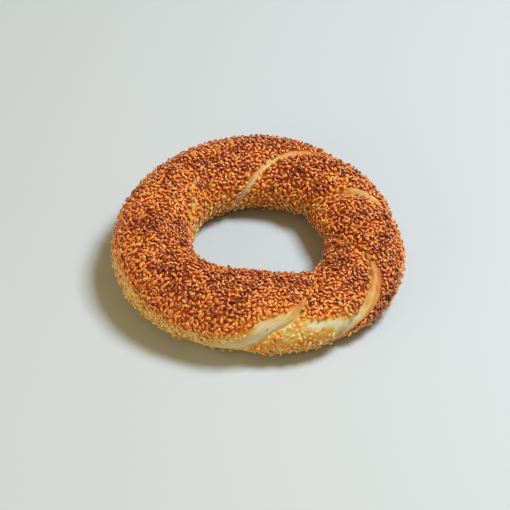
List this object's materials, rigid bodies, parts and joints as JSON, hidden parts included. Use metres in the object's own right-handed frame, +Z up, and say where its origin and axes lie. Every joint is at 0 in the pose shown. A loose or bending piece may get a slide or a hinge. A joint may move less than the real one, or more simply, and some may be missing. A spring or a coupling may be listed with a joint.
{
  "type": "simit",
  "caption": "Ring of bread twisted from two ropes of dough, with a flat base, an open middle and a toasted crust under sesame seeds.",
  "frame": {"origin": "middle of the ring's outline, on the flat base", "axes": "+Z up out of the ring's crown, +X across the ring at its widest, towards the side with the open twist"},
  "size_m": [0.1446, 0.1412, 0.0352],
  "materials": {
    "crust": "baked bread crust, satin, browned on the crown and pale in the seams",
    "sesame": "toasted sesame seeds, satin"
  },
  "bodies": {
    "root": {"simit": "crust"}
  },
  "joints": []
}
